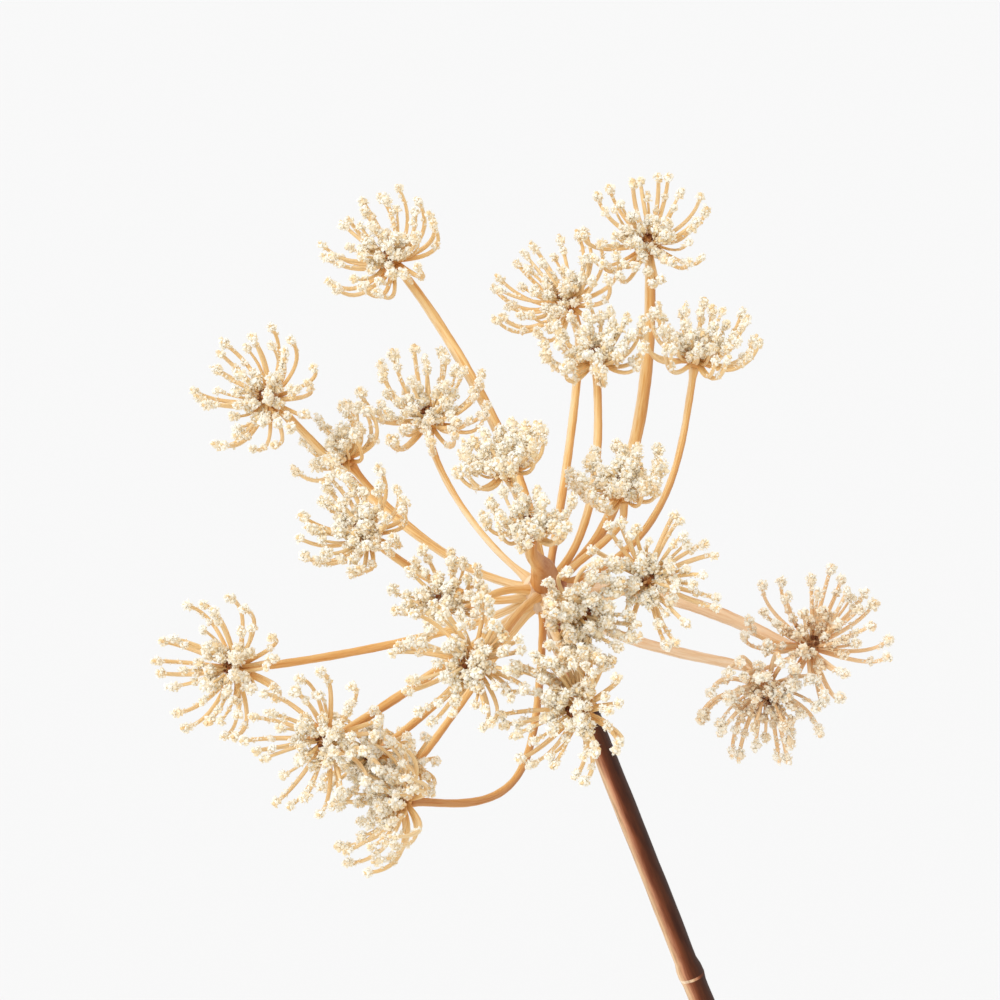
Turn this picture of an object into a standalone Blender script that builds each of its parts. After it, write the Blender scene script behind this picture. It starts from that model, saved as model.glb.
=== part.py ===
"""Dried Queen Anne's lace standing in a plain stoneware bottle vase.

One stem leans in the bottle's neck and ends in a knob, from which the rays of the
compound umbel spread. Each ray carries one umbellet: a node with slender pedicels
that reach out, turn up and end in a clump of small dry florets.

Units in the tables are millimetres. The base of the vase is centred on the origin.
"""

import math
import random
from itertools import combinations

import bmesh
import bpy
import numpy as np
from mathutils import Matrix, Vector

MM = 0.001

# Vase: outer and inner outline as (radius, height), from the base up and back down.
VASE_SIDES = 32
VASE_OUTSIDE = (
    (40.0, 0.0), (45.5, 1.2), (49.0, 6.0), (52.6, 16.0), (55.0, 32.0), (55.8, 52.0),
    (54.2, 74.0), (49.8, 95.0), (42.0, 115.0), (32.0, 132.0), (24.0, 147.0),
    (19.8, 163.0), (18.4, 182.0), (18.6, 200.0), (20.4, 213.0), (22.2, 218.5),
)
VASE_LIP = ((22.1, 220.6), (20.6, 221.6), (18.8, 220.6))
VASE_INSIDE = (
    (17.0, 217.2), (14.4, 208.5), (13.9, 196.0), (13.9, 182.0), (15.4, 164.0),
    (19.6, 149.0), (27.4, 134.0), (37.4, 116.0), (45.4, 95.0), (49.6, 74.0),
    (51.2, 52.0), (50.4, 32.0), (48.0, 17.0), (45.4, 9.4), (41.0, 6.0),
)

# Stem: centreline and radius, from the foot on the vase floor to the knob.
STEM_SIDES = 12
STEM_PATH = (
    ((34.0, 0.0, 7.3), 3.5), ((22.8, 0.0, 58.0), 3.5), ((11.4, 0.0, 110.0), 3.4),
    ((0.2, 0.0, 160.0), 3.4), ((-10.1, 0.0, 207.0), 3.4), ((-17.5, 0.0, 236.0), 3.35),
    ((-26.9, 0.0, 267.0), 3.3), ((-37.9, 0.0, 300.0), 3.2), ((-47.7, -0.1, 325.4), 3.1),
    ((-48.4, -0.1, 327.2), 3.5), ((-49.3, -0.2, 329.4), 3.5), ((-50.0, -0.2, 331.2), 3.0),
    ((-57.0, -0.9, 350.0), 3.0), ((-64.5, -2.5, 370.0), 2.95), ((-73.4, -5.5, 394.0), 2.9),
    ((-80.5, -9.0, 414.0), 2.85), ((-84.3, -11.6, 425.8), 2.9),
)
KNOB_CENTRE = Vector((-87.0, -14.0, 435.0))
KNOB_RADIUS = 6.0
KNOB_RINGS = (-0.84, -0.55, -0.15, 0.3, 0.7, 0.94)

# Head: its front is leaned back, and its tables are measured from the knob's centre
# with x to the right, y to the back and z up.
HEAD_LEAN = math.radians(-15.0)
ROOT_GAP = 0.3
ROOT_ANGLE = math.radians(22.5)
STEM_ANGLE = math.radians(40.0)
STEM_LEAVES = (0.36, 0.2, -0.91)
RAY_SIDES = 5
RAY_STEPS = 7
RAY_NECK = 2.6
RAY_ROOT_RADIUS = 0.95
RAY_TIP_RADIUS = 0.95
SEAT_GAP = 0.3

# One row per ray: where its umbellet sits, which way the umbellet faces, which way the
# ray leaves the knob, how far it holds both ways, how wide the umbellet spreads and the
# ray's radius halfway.
RAYS = (
    ((-37.5, 18, 82.5), (-0.44, -0.74, 0.51), (-0.10, 0.25, 0.96), (0.36, 0.20), 18.5, 1.20),
    ((-68.5, 4, 47.5), (-0.38, -0.88, 0.28), (-0.97, 0.00, 0.20), (0.36, 0.15), 18.8, 1.00),
    ((27, 32, 87.8), (-0.06, -0.90, 0.43), (0.86, 0.30, 0.55), (0.36, 0.22), 18.5, 1.10),
    ((38, 14, 57), (0.12, -0.50, 0.86), (0.97, 0.10, 0.35), (0.46, 0.32), 17.5, 0.90),
    ((-49, 10, 32), (-0.55, -0.40, 0.73), (-0.95, 0.30, 0.18), (0.36, 0.22), 15.0, 0.95),
    ((7, 30, 72), (-0.45, -0.62, 0.64), (0.15, 0.45, 0.88), (0.40, 0.09), 19.8, 0.92),
    ((-29.3, 16, 41.8), (-0.05, -0.75, 0.66), (-0.70, 0.10, 0.55), (0.36, 0.28), 19.0, 0.85),
    ((13, 6, 56), (-0.05, -0.60, 0.80), (0.60, 0.05, 0.80), (0.36, 0.28), 15.5, 0.88),
    ((-43, -22, 14), (-0.45, -0.77, 0.45), (-0.93, -0.20, -0.32), (0.36, 0.18), 16.5, 1.05),
    ((19, -16, 23), (-0.15, -0.55, 0.82), (0.65, -0.30, 0.60), (0.36, 0.24), 14.5, 0.95),
    ((-9, -30, 28.5), (-0.34, -0.40, 0.85), (-0.15, -0.45, 0.85), (0.36, 0.24), 14.0, 1.00),
    ((-23.8, -36, -2.8), (-0.35, -0.87, 0.35), (-0.75, -0.60, 0.10), (0.36, 0.20), 14.0, 1.00),
    ((-4, -43, 14), (0.00, -0.58, 0.81), (0.00, -0.80, 0.50), (0.22, 0.12), 13.0, 1.55),
    ((-17.3, -62, -15), (-0.30, -0.95, 0.00), (-0.35, -0.85, -0.20), (0.36, 0.24), 18.5, 1.10),
    ((7.8, -66, -26), (-0.40, -0.90, -0.05), (0.05, -0.85, -0.50), (0.36, 0.24), 18.5, 1.10),
    ((6, -50, -4), (0.60, -0.80, -0.02), (0.25, -0.95, 0.00), (0.30, 0.20), 15.5, 1.00),
    ((23.8, -42, 4), (0.12, -0.99, 0.00), (0.70, -0.60, -0.20), (0.36, 0.24), 19.0, 1.05),
    ((65, -18, -13.6), (0.06, -0.93, 0.36), (0.97, -0.08, 0.20), (0.48, 0.12), 20.0, 1.60),
    ((54, -24, -22.2), (-0.05, -0.79, -0.61), (0.78, -0.20, -0.62), (0.40, 0.12), 18.0, 1.38),
    ((-75, -26, -18), (-0.40, -0.91, 0.05), (-0.85, -0.10, -0.36), (0.28, 0.10), 19.5, 1.05),
    ((-52, -48, -34), (-0.30, -0.95, -0.05), (-0.66, -0.50, -0.50), (0.30, 0.10), 19.5, 1.15),
    ((-41, -28, -38), (-0.40, -0.90, -0.20), (-0.60, -0.20, -0.75), (0.30, 0.10), 16.0, 1.00),
    ((-33, -40, -49.5), (-0.84, -0.52, 0.12), (-0.02, -0.30, -0.95), (0.62, 0.50), 20.5, 0.98),
    ((-33, -12, -42), (-0.40, -0.90, -0.10), (-0.62, 0.15, -0.77), (0.36, 0.10), 12.5, 0.95),
)

# Umbellet: the core's rings as (radius, height) and the pedicels drawn out of its faces.
CORE_RINGS = ((1.25, 0.0), (2.2, 0.8), (2.45, 2.2), (1.95, 3.5), (1.0, 4.4))
SMALL_SPREAD = 15.5
PEDICEL_RADIUS = 0.68
CLUMP_RADIUS = 1.95
CLUMP_LENGTH = 3.4
CLEARANCE = 0.45
SHORTER = (1.0, 0.86, 0.72, 0.58, 0.45)


def material(name, colour, roughness):
    """A plain Principled surface."""
    made = bpy.data.materials.new(name)
    made.use_nodes = True
    shader = made.node_tree.nodes["Principled BSDF"]
    shader.inputs["Base Color"].default_value = (*colour, 1.0)
    shader.inputs["Roughness"].default_value = roughness
    return made


def add_object(name, bm, surface, parent=None, place=None, smooth=True):
    """Turn a bmesh in millimetres into a named object with its own surface."""
    bmesh.ops.recalc_face_normals(bm, faces=bm.faces)
    bmesh.ops.scale(bm, vec=(MM, MM, MM), verts=bm.verts)
    mesh = bpy.data.meshes.new(name)
    bm.to_mesh(mesh)
    bm.free()
    for polygon in mesh.polygons:
        polygon.use_smooth = smooth
    mesh.materials.append(surface)
    made = bpy.data.objects.new(name, mesh)
    bpy.context.scene.collection.objects.link(made)
    if parent is not None:
        made.parent = parent
    if place is not None:
        made.matrix_local = place
    return made


def join_rings(bm, rings):
    """Skin a row of equal rings and close both ends."""
    for low, high in zip(rings, rings[1:]):
        for k in range(len(low)):
            nxt = (k + 1) % len(low)
            bm.faces.new((low[k], low[nxt], high[nxt], high[k]))
    bm.faces.new(rings[0][::-1])
    bm.faces.new(rings[-1])


def tube(points, radii, sides):
    """A closed tube along a line of points, without twist."""
    bm = bmesh.new()
    rings = []
    across = None
    for k, (point, radius) in enumerate(zip(points, radii)):
        ahead = points[min(k + 1, len(points) - 1)] - points[max(k - 1, 0)]
        along = ahead.normalized()
        if across is None:
            across = along.orthogonal().normalized()
        across = (across - along * across.dot(along)).normalized()
        beside = along.cross(across)
        turns = [2.0 * math.pi * n / sides for n in range(sides)]
        rings.append([
            bm.verts.new(point + (across * math.cos(a) + beside * math.sin(a)) * radius)
            for a in turns
        ])
    join_rings(bm, rings)
    return bm


def make_vase():
    """The bottle: one turned wall with a flat base and a soft lip."""
    outline = [*VASE_OUTSIDE, *VASE_LIP, *VASE_INSIDE]
    bm = bmesh.new()
    rings = []
    for radius, height in outline:
        turns = [2.0 * math.pi * n / VASE_SIDES for n in range(VASE_SIDES)]
        rings.append([
            bm.verts.new((radius * math.cos(a), radius * math.sin(a), height)) for a in turns
        ])
    join_rings(bm, rings)
    return add_object("vase", bm, material("stoneware", (0.82, 0.77, 0.69), 0.55))


def make_stem():
    """The stem with its joint ring, ending in the knob that the rays grow from."""
    points = [Vector(point) for point, _ in STEM_PATH]
    radii = [radius for _, radius in STEM_PATH]
    along = (KNOB_CENTRE - points[-1]).normalized()
    for level in KNOB_RINGS:
        points.append(KNOB_CENTRE + along * KNOB_RADIUS * level)
        radii.append(KNOB_RADIUS * math.sqrt(1.0 - level * level))
    bm = tube(points, radii, STEM_SIDES)
    return add_object("stem", bm, material("stem_bark", (0.20, 0.075, 0.04), 0.5))


def head_matrix():
    """From the head's own tables to the vase's frame, in millimetres."""
    return Matrix.Translation(KNOB_CENTRE) @ Matrix.Rotation(HEAD_LEAN, 4, "X")


def eased_roots():
    """The directions in which the rays leave, eased apart so that each has room."""
    roots = [Vector(row[2]).normalized() for row in RAYS]
    stem = Vector(STEM_LEAVES).normalized()
    for _ in range(200):
        for a, b in combinations(range(len(roots)), 2):
            lack = ROOT_ANGLE - roots[a].angle(roots[b])
            if lack > 0.0:
                push = (roots[a] - roots[b]).normalized() * lack * 0.5
                roots[a] = (roots[a] + push).normalized()
                roots[b] = (roots[b] - push).normalized()
        for k, root in enumerate(roots):
            lack = STEM_ANGLE - root.angle(stem)
            if lack > 0.0:
                roots[k] = (root + (root - stem).normalized() * lack).normalized()
    return roots


def ray_line(row, root):
    """Points of one ray: out of the knob, then round to the way its umbellet faces."""
    face = Vector(row[1]).normalized()
    end = Vector(row[0]) - face * RAY_NECK
    start = root * (KNOB_RADIUS + ROOT_GAP)
    reach = (end - start).length
    first = start + root * reach * row[3][0]
    last = end - face * reach * row[3][1]
    points = []
    for k in range(RAY_STEPS + 1):
        t = k / RAY_STEPS
        s = 1.0 - t
        points.append(
            start * s ** 3 + first * 3 * s * s * t + last * 3 * s * t * t + end * t ** 3
        )
    return [*points, Vector(row[0])]


def ray_radii(middle):
    """Narrow at the root, fullest halfway, easing in again under the umbellet."""
    radii = []
    for k in range(RAY_STEPS + 2):
        t = k / (RAY_STEPS + 1)
        low = RAY_ROOT_RADIUS if t < 0.5 else RAY_TIP_RADIUS
        radii.append(low + (middle - low) * max(0.0, math.sin(math.pi * t)) ** 0.6)
    return radii


def shape_face(face, centre, along, radius):
    """Set a face as a regular polygon across its direction, keeping its turn."""
    middle = face.calc_center_median()
    arm = face.verts[0].co - middle
    across = (arm - along * arm.dot(along)).normalized()
    beside = along.cross(across)
    count = len(face.verts)
    for k, vert in enumerate(face.verts):
        turn = 2.0 * math.pi * k / count
        vert.co = centre + (across * math.cos(turn) + beside * math.sin(turn)) * radius


def draw_out(bm, face, line):
    """Draw one face of the core out along a pedicel and swell it into a clump."""
    for centre, along, radius in line:
        face = bmesh.ops.extrude_discrete_faces(bm, faces=[face])["faces"][0]
        shape_face(face, centre, along, radius)


def pedicel_line(start, turn, reach, rise, elbow, size):
    """Stations of one pedicel: out from the core, round the elbow, up to its clump."""
    out = Vector((math.cos(turn), math.sin(turn), 0.0))
    up = Vector((0.0, 0.0, 1.0))
    bend = out * elbow[0] * reach + up * elbow[1] * rise
    tip = out * reach + up * rise
    end = (tip - bend).normalized()
    neck = tip - end * CLUMP_LENGTH * size
    middle = tip - end * CLUMP_LENGTH * size * 0.45
    return [
        (bend, ((bend - start).normalized() + end).normalized(), PEDICEL_RADIUS * size),
        (neck, end, PEDICEL_RADIUS * size),
        (middle, end, CLUMP_RADIUS * size),
        (tip, end, CLUMP_RADIUS * size * 0.55),
    ]


def samples(line, place):
    """Points along a pedicel with their radii, for keeping neighbours clear."""
    spots = []
    for (a, _, ra), (b, _, rb) in zip(line, line[1:]):
        steps = max(2, int((b - a).length / 0.8))
        for k in range(steps + 1):
            t = k / steps
            spots.append((*(place @ a.lerp(b, t)), ra + (rb - ra) * t))
    return np.array(spots)


def is_clear(spots, taken):
    """True where no sampled point comes near anything already placed."""
    if not len(taken):
        return True
    apart = np.linalg.norm(spots[:, None, :3] - taken[None, :, :3], axis=2)
    return bool((apart - spots[:, None, 3] - taken[None, :, 3]).min() > CLEARANCE)


def umbellet(spread, place, taken, seed):
    """One umbellet: a core and three tiers of pedicels, shortened where it is crowded."""
    chance = random.Random(seed)
    sides = 5 if spread < SMALL_SPREAD else 7
    size = 0.88 if spread < SMALL_SPREAD else 1.0
    ring = spread - CLUMP_RADIUS * size * 0.6
    rise = 0.55 * ring + 4.0
    bm = bmesh.new()
    rings = []
    for radius, height in CORE_RINGS:
        turns = [2.0 * math.pi * n / sides for n in range(sides)]
        rings.append([
            bm.verts.new((radius * math.cos(a), radius * math.sin(a), height)) for a in turns
        ])
    join_rings(bm, rings)
    bm.normal_update()
    walls = [face for face in bm.faces if len(face.verts) == 4]
    step = 2.0 * math.pi / sides
    tiers = (
        (walls[sides:2 * sides], 1.00, 0.92, (0.80, 0.13), 0.0),
        (walls[2 * sides:3 * sides], 0.80, 1.00, (0.62, 0.42), 0.45),
        (walls[3 * sides::2], 0.36, 0.98, (0.55, 0.55), 0.0),
    )
    own = []
    for faces, out, high, elbow, shift in tiers:
        for k, face in enumerate(faces):
            start = face.calc_center_median()
            turn = math.atan2(start.y, start.x) + step * (shift + chance.uniform(-0.16, 0.16))
            reach = ring * out * chance.uniform(0.92, 1.0)
            lift = rise * high * chance.uniform(0.86, 1.06)
            for less in SHORTER:
                line = pedicel_line(start, turn, reach * less, lift * less, elbow, size)
                if (line[1][0] - line[0][0]).dot(line[1][1]) < 0.6:
                    line = line[:1] + line[2:]
                spots = samples([(start, None, PEDICEL_RADIUS), *line], place)
                if is_clear(spots, taken):
                    own.append(spots)
                    draw_out(bm, face, line)
                    break
    return bm, np.concatenate(own)


def ray_spots(points, radii, place):
    """Sampled points of a ray with their radii."""
    spots = []
    for k in range(len(points) - 1):
        for n in range(8):
            t = n / 8
            spot = place @ points[k].lerp(points[k + 1], t)
            spots.append((*spot, radii[k] + (radii[k + 1] - radii[k]) * t))
    return np.array(spots)


def main():
    for old in list(bpy.data.objects):
        bpy.data.objects.remove(old)
    vase = make_vase()
    stem = make_stem()
    stem.parent = vase
    ray_surface = material("ray_straw", (0.62, 0.36, 0.17), 0.6)
    floret_surface = material("dry_florets", (0.83, 0.74, 0.56), 0.85)
    head = head_matrix()
    lines = [ray_line(row, root) for row, root in zip(RAYS, eased_roots())]
    widths = [ray_radii(row[5]) for row in RAYS]
    seats = []
    ray_taken = []
    for k, (row, points) in enumerate(zip(RAYS, lines), 1):
        bm = tube([head @ point for point in points], widths[k - 1], RAY_SIDES)
        add_object(f"ray_{k:02d}", bm, ray_surface, parent=stem)
        face = (points[-1] - points[-2]).normalized()
        seat = points[-1] + face * SEAT_GAP
        seats.append(head @ Matrix.Translation(seat) @ face.to_track_quat("Z", "Y").to_matrix().to_4x4())
        ray_taken.append(ray_spots(points, widths[k - 1], head))
    stem_points = [Vector(point) for point, _ in STEM_PATH]
    stem_radii = [radius for _, radius in STEM_PATH]
    stem_taken = ray_spots(stem_points, stem_radii, Matrix.Identity(4))
    placed = []
    for k, (row, seat) in enumerate(zip(RAYS, seats), 1):
        own_ray = ray_taken[k - 1]
        far = np.linalg.norm(own_ray[:, :3] - np.array(seat.translation), axis=1) > 5.0
        others = [spots for n, spots in enumerate(ray_taken, 1) if n != k]
        taken = np.concatenate([*others, own_ray[far], stem_taken, *placed])
        bm, own = umbellet(row[4], seat, taken, 100 + k)
        placed.append(own)
        metres = seat.copy()
        metres.translation = seat.translation * MM
        add_object(f"umbellet_{k:02d}", bm, floret_surface, parent=stem, place=metres)


main()
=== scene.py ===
"""Looks for the dried Queen Anne's lace in its bottle vase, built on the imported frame."""

import itertools
import math

import bpy
import numpy as np
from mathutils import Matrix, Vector


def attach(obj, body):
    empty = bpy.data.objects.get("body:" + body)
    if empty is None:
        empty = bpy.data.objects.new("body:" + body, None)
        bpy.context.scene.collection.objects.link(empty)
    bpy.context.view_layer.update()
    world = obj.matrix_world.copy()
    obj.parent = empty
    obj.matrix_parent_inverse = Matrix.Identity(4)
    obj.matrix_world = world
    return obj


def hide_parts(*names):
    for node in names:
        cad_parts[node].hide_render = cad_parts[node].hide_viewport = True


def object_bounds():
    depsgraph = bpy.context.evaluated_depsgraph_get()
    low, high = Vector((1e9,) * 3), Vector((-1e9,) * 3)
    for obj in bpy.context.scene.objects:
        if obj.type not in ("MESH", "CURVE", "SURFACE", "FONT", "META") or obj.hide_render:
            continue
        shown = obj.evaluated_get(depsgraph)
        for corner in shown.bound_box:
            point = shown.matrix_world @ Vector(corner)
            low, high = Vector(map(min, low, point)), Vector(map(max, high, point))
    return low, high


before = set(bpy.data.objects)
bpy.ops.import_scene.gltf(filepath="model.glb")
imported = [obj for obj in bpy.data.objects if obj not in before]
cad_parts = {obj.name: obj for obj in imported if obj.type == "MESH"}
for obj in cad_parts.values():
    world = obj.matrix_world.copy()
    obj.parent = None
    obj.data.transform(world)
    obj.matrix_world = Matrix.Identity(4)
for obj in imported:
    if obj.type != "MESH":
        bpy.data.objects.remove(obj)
cad_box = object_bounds()

MM = 0.001
PER_METRE = 1000.0
SEED = 7


# Short ways to write what repeats. All lengths are in millimetres unless they say otherwise.


def unit(v):
    return v / np.linalg.norm(v)


def units(rows):
    """Each row made one long."""
    return rows / np.linalg.norm(rows, axis=1)[:, None]


def clipped(values):
    return np.clip(values, 0.0, 1.0)


def across_of(way):
    """A direction across the way, level unless the way is nearly upright."""
    side = np.cross(way, [0.0, 0.0, 1.0])
    if np.linalg.norm(side) < 0.2:
        side = np.cross(way, [1.0, 0.0, 0.0])
    return unit(side)


def upward(height):
    return np.array([0.0, 0.0, height])


def flat_way(angle):
    """A direction across, at this angle round the upward axis."""
    return np.array([math.cos(angle), math.sin(angle), 0.0])


def full_turn(sides):
    """The angles of a ring's points, as a row."""
    return np.linspace(0.0, 2.0 * math.pi, sides, endpoint=False)


def run_along(line):
    """How far along the line each of its points is."""
    return np.concatenate([[0.0], np.cumsum(np.linalg.norm(np.diff(line, axis=0), axis=1))])


# Reading the frame: each CAD mesh is welded, and its rings are found from one end.


def welded(node):
    """A node's points, each once, and the set of neighbours of each."""
    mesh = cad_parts[node].data
    co = np.zeros(len(mesh.vertices) * 3)
    mesh.vertices.foreach_get("co", co)
    co = np.round(co.reshape(-1, 3) * PER_METRE, 3)
    points, which = np.unique(co, axis=0, return_inverse=True)
    which = which.ravel()
    edges = np.zeros(len(mesh.edges) * 2, int)
    mesh.edges.foreach_get("vertices", edges)
    near = [set() for _ in points]
    for a, b in which[edges].reshape(-1, 2):
        if a != b:
            near[a].add(b)
            near[b].add(a)
    return points, near


def levels(near, first, allowed=None):
    """Rows of points, each one step further from the first row."""
    done = set(first)
    rows = [sorted(first)]
    while True:
        row = {n for k in rows[-1] for n in near[k]} - done
        if allowed is not None:
            row &= allowed
        if not row:
            return rows
        done |= row
        rows.append(sorted(row))


def centres(points, rows):
    """Each row's middle and its mean distance from it."""
    middle = np.array([points[row].mean(0) for row in rows])
    radius = [np.linalg.norm(points[row] - m, axis=1).mean() for row, m in zip(rows, middle)]
    return middle, np.array(radius)


def rings(near, first, count, sides):
    """The rings of a swept or turned solid. The first has the points given."""
    rows = levels(near, first)
    assert len(rows) == count and all(len(row) == sides for row in rows)
    return rows


# Rings of the CAD solids, and points in each.
STEM_RINGS, STEM_SIDES = 23, 12
RAY_RINGS, RAY_SIDES = 9, 5
VASE_RINGS, VASE_SIDES = 34, 32

# The last rings of the stem are its knob. Its middle is the hub, this share of the way up them.
KNOB_RINGS = 6
HUB_SHARE = 0.84 / 1.78
KNOB_RADIUS = 6.0

stem_points, stem_near = welded("stem")
stem_foot = list(np.argsort(stem_points[:, 2])[:STEM_SIDES])
stem_line, stem_radii = centres(
    stem_points, rings(stem_near, stem_foot, STEM_RINGS, STEM_SIDES)
)
HUB = stem_line[-KNOB_RINGS] + (stem_line[-1] - stem_line[-KNOB_RINGS]) * HUB_SHARE

# The joint ring stands out most from the rings below and above it.
joint = 1 + int(np.argmax(stem_radii[1:-8] - (stem_radii[:-9] + stem_radii[2:-7]) / 2.0))
JOINT_AXIS = unit(stem_line[joint + 1] - stem_line[joint - 1])
JOINT_LEVEL = float(JOINT_AXIS @ stem_line[joint]) * MM


# Camera: 15 degrees above the head, looking down at it from the front, through a long lens.

ELEVATION = math.radians(15.0)
DISTANCE = 1100.0
LENS = 158.4
SENSOR = 36.0
VIEW_AHEAD = np.array([0.0, math.cos(ELEVATION), -math.sin(ELEVATION)])
VIEW_UP = np.array([0.0, math.sin(ELEVATION), math.cos(ELEVATION)])
VIEW_RIGHT = np.array([1.0, 0.0, 0.0])
# The middle of the picture, seen from the hub.
AIM_RIGHT, AIM_UP = -11.25, 23.0
# The camera's range, in metres.
NEAREST, FURTHEST = 0.05, 60.0


def make_camera():
    data = bpy.data.cameras.new("camera")
    camera = bpy.data.objects.new("camera", data)
    bpy.context.scene.collection.objects.link(camera)
    aim = HUB + VIEW_RIGHT * AIM_RIGHT + VIEW_UP * AIM_UP
    camera.location = (aim - VIEW_AHEAD * DISTANCE) * MM
    camera.rotation_euler = (math.radians(90.0) - ELEVATION, 0.0, 0.0)
    data.sensor_width = SENSOR
    data.lens = LENS
    data.clip_start = NEAREST
    data.clip_end = FURTHEST
    bpy.context.scene.camera = camera
    bpy.context.scene.view_settings.view_transform = "Standard"


# Materials. A piece's own tone sets where on the ramp each of its points is. For florets 0 is
# pale and 1 brown, for stalks and stem 0 is dark and 1 pale, and for the vase 1 is bare clay.
# The fibre is a place to look up noise at, drawn out along the stalk.

WHITE = (255, 255, 255)


def linear(colour):
    """A colour written as 0 to 255, as Blender's sockets want it."""
    parts = [c / 255.0 for c in colour]
    parts = [c / 12.92 if c <= 0.04045 else ((c + 0.055) / 1.055) ** 2.4 for c in parts]
    return (*parts, 1.0)


class Nodes:
    """The node tree of a material or world, with short ways to add to it."""

    def __init__(self, owner):
        owner.use_nodes = True
        self.owner = owner
        self.tree = owner.node_tree

    def add(self, kind, inputs=(), **settings):
        """A new node with these settings, and these values in its inputs."""
        node = self.tree.nodes.new(kind)
        for key, value in settings.items():
            setattr(node, key, value)
        for key, value in dict(inputs).items():
            node.inputs[key].default_value = value
        return node

    def link(self, source, target):
        self.tree.links.new(source, target)

    def attribute(self, name):
        return self.add("ShaderNodeAttribute", attribute_name=name)

    def noise(self, vector, scale, detail, roughness=0.5):
        values = {"Scale": scale, "Detail": detail, "Roughness": roughness}
        node = self.add("ShaderNodeTexNoise", values)
        self.link(vector, node.inputs["Vector"])
        return node.outputs["Fac"]

    def ramp(self, factor, *stops):
        """Each stop is a place from 0 to 1 and a colour."""
        node = self.add("ShaderNodeValToRGB")
        elements = node.color_ramp.elements
        while len(elements) < len(stops):
            elements.new(0.5)
        for element, (place, colour) in zip(elements, stops):
            element.position = place
            element.color = linear(colour)
        self.link(factor, node.inputs["Fac"])
        return node.outputs["Color"]

    def mix(self, first, second, factor=None):
        """The colours mixed by the factor, or one times the other where there is none."""
        node = self.add("ShaderNodeMix", data_type="RGBA")
        self.link(first, node.inputs["A"])
        self.link(second, node.inputs["B"])
        if factor is None:
            node.blend_type = "MULTIPLY"
            node.inputs["Factor"].default_value = 1.0
        else:
            self.link(factor, node.inputs["Factor"])
        return node.outputs["Result"]

    def bump(self, height, strength, distance):
        """Relief in the shader, its distance in metres."""
        node = self.add("ShaderNodeBump", {"Strength": strength, "Distance": distance})
        self.link(height, node.inputs["Height"])
        self.link(node.outputs["Normal"], self.tree.nodes["Principled BSDF"].inputs["Normal"])

    def finish(self, colour, roughness, specular):
        shader = self.tree.nodes["Principled BSDF"]
        self.link(colour, shader.inputs["Base Color"])
        shader.inputs["Roughness"].default_value = roughness
        shader.inputs["Specular IOR Level"].default_value = specular
        return self.owner


def floret_material(name, outer, cream, warm, tan, brown):
    """Dry cream crumbs: tan where they sit deep, which is painted shade, each crumb a little
    different.
    """
    n = Nodes(bpy.data.materials.new(name))
    depth = n.attribute("tone").outputs["Fac"]
    place = n.add("ShaderNodeTexCoord").outputs["Object"]
    body = n.ramp(depth, (0.0, outer), (0.3, cream), (0.6, warm), (0.84, tan), (1.0, brown))
    crumb = n.add("ShaderNodeNewGeometry").outputs["Random Per Island"]
    tint = n.ramp(
        crumb,
        (0.0, WHITE),
        (0.6, (254, 254, 250)),
        (0.86, (250, 248, 241)),
        (1.0, (246, 234, 213)),
    )
    patch = n.ramp(n.noise(place, 300.0, 2.0), (0.34, (250, 247, 241)), (0.55, WHITE))
    colour = n.mix(n.mix(body, tint), patch)
    n.bump(n.noise(place, 2600.0, 2.0), 0.35, 0.0001)
    return n.finish(colour, 0.9, 0.2)


def straw_material(name, root, low, middle, high, streak):
    """Dry plant fibre: streaks along the stalk and a change of tone along its length."""
    n = Nodes(bpy.data.materials.new(name))
    tone = n.attribute("tone").outputs["Fac"]
    fibre = n.attribute("fibre").outputs["Vector"]
    body = n.ramp(tone, (0.0, root), (0.24, low), (0.5, middle), (1.0, high))
    lines = n.ramp(
        n.noise(fibre, 1.0, 4.0, 0.6), (0.32, streak), (0.49, (247, 238, 224)), (0.7, WHITE)
    )
    colour = n.mix(body, lines)
    n.bump(n.noise(fibre, 1.6, 3.0), 0.4, 0.00012)
    return n.finish(colour, 0.55, 0.35)


# The scar round the stem: how far below the joint ring it is and half its height, in metres,
# and how much its tone goes up.
SCAR_BELOW = 0.0022
SCAR_HALF = 0.0004
SCAR_TONE = 0.3


def bark_material():
    """Polished dark stem, with painted light where it faces the left, tan, and painted shade on
    the right, near black, and a pale scar round it just below its joint ring."""
    n = Nodes(bpy.data.materials.new("stem_bark"))
    fibre = n.attribute("fibre").outputs["Vector"]
    level = n.add("ShaderNodeVectorMath", {1: JOINT_AXIS}, operation="DOT_PRODUCT")
    n.link(n.add("ShaderNodeTexCoord").outputs["Object"], level.inputs[0])
    values = {1: JOINT_LEVEL - SCAR_BELOW, 2: SCAR_HALF}
    scar = n.add("ShaderNodeMath", values, operation="COMPARE")
    n.link(level.outputs["Value"], scar.inputs[0])
    tone = n.add("ShaderNodeMath", {1: SCAR_TONE}, operation="MULTIPLY_ADD")
    n.link(scar.outputs["Value"], tone.inputs[0])
    n.link(n.attribute("tone").outputs["Fac"], tone.inputs[2])
    body = n.ramp(
        tone.outputs["Value"],
        (0.0, (62, 42, 34)),
        (0.25, (71, 37, 20)),
        (0.42, (86, 43, 19)),
        (0.52, (106, 54, 28)),
        (0.6, (128, 69, 40)),
        (0.665, (170, 108, 76)),
        (0.74, (215, 156, 118)),
        (0.85, (234, 197, 154)),
        (1.0, (252, 228, 196)),
    )
    lines = n.ramp(n.noise(fibre, 1.0, 5.0, 0.6), (0.32, (196, 180, 170)), (0.6, WHITE))
    colour = n.mix(body, lines)
    n.bump(n.noise(fibre, 1.5, 3.0), 0.35, 0.00015)
    return n.finish(colour, 0.5, 0.18)


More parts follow.
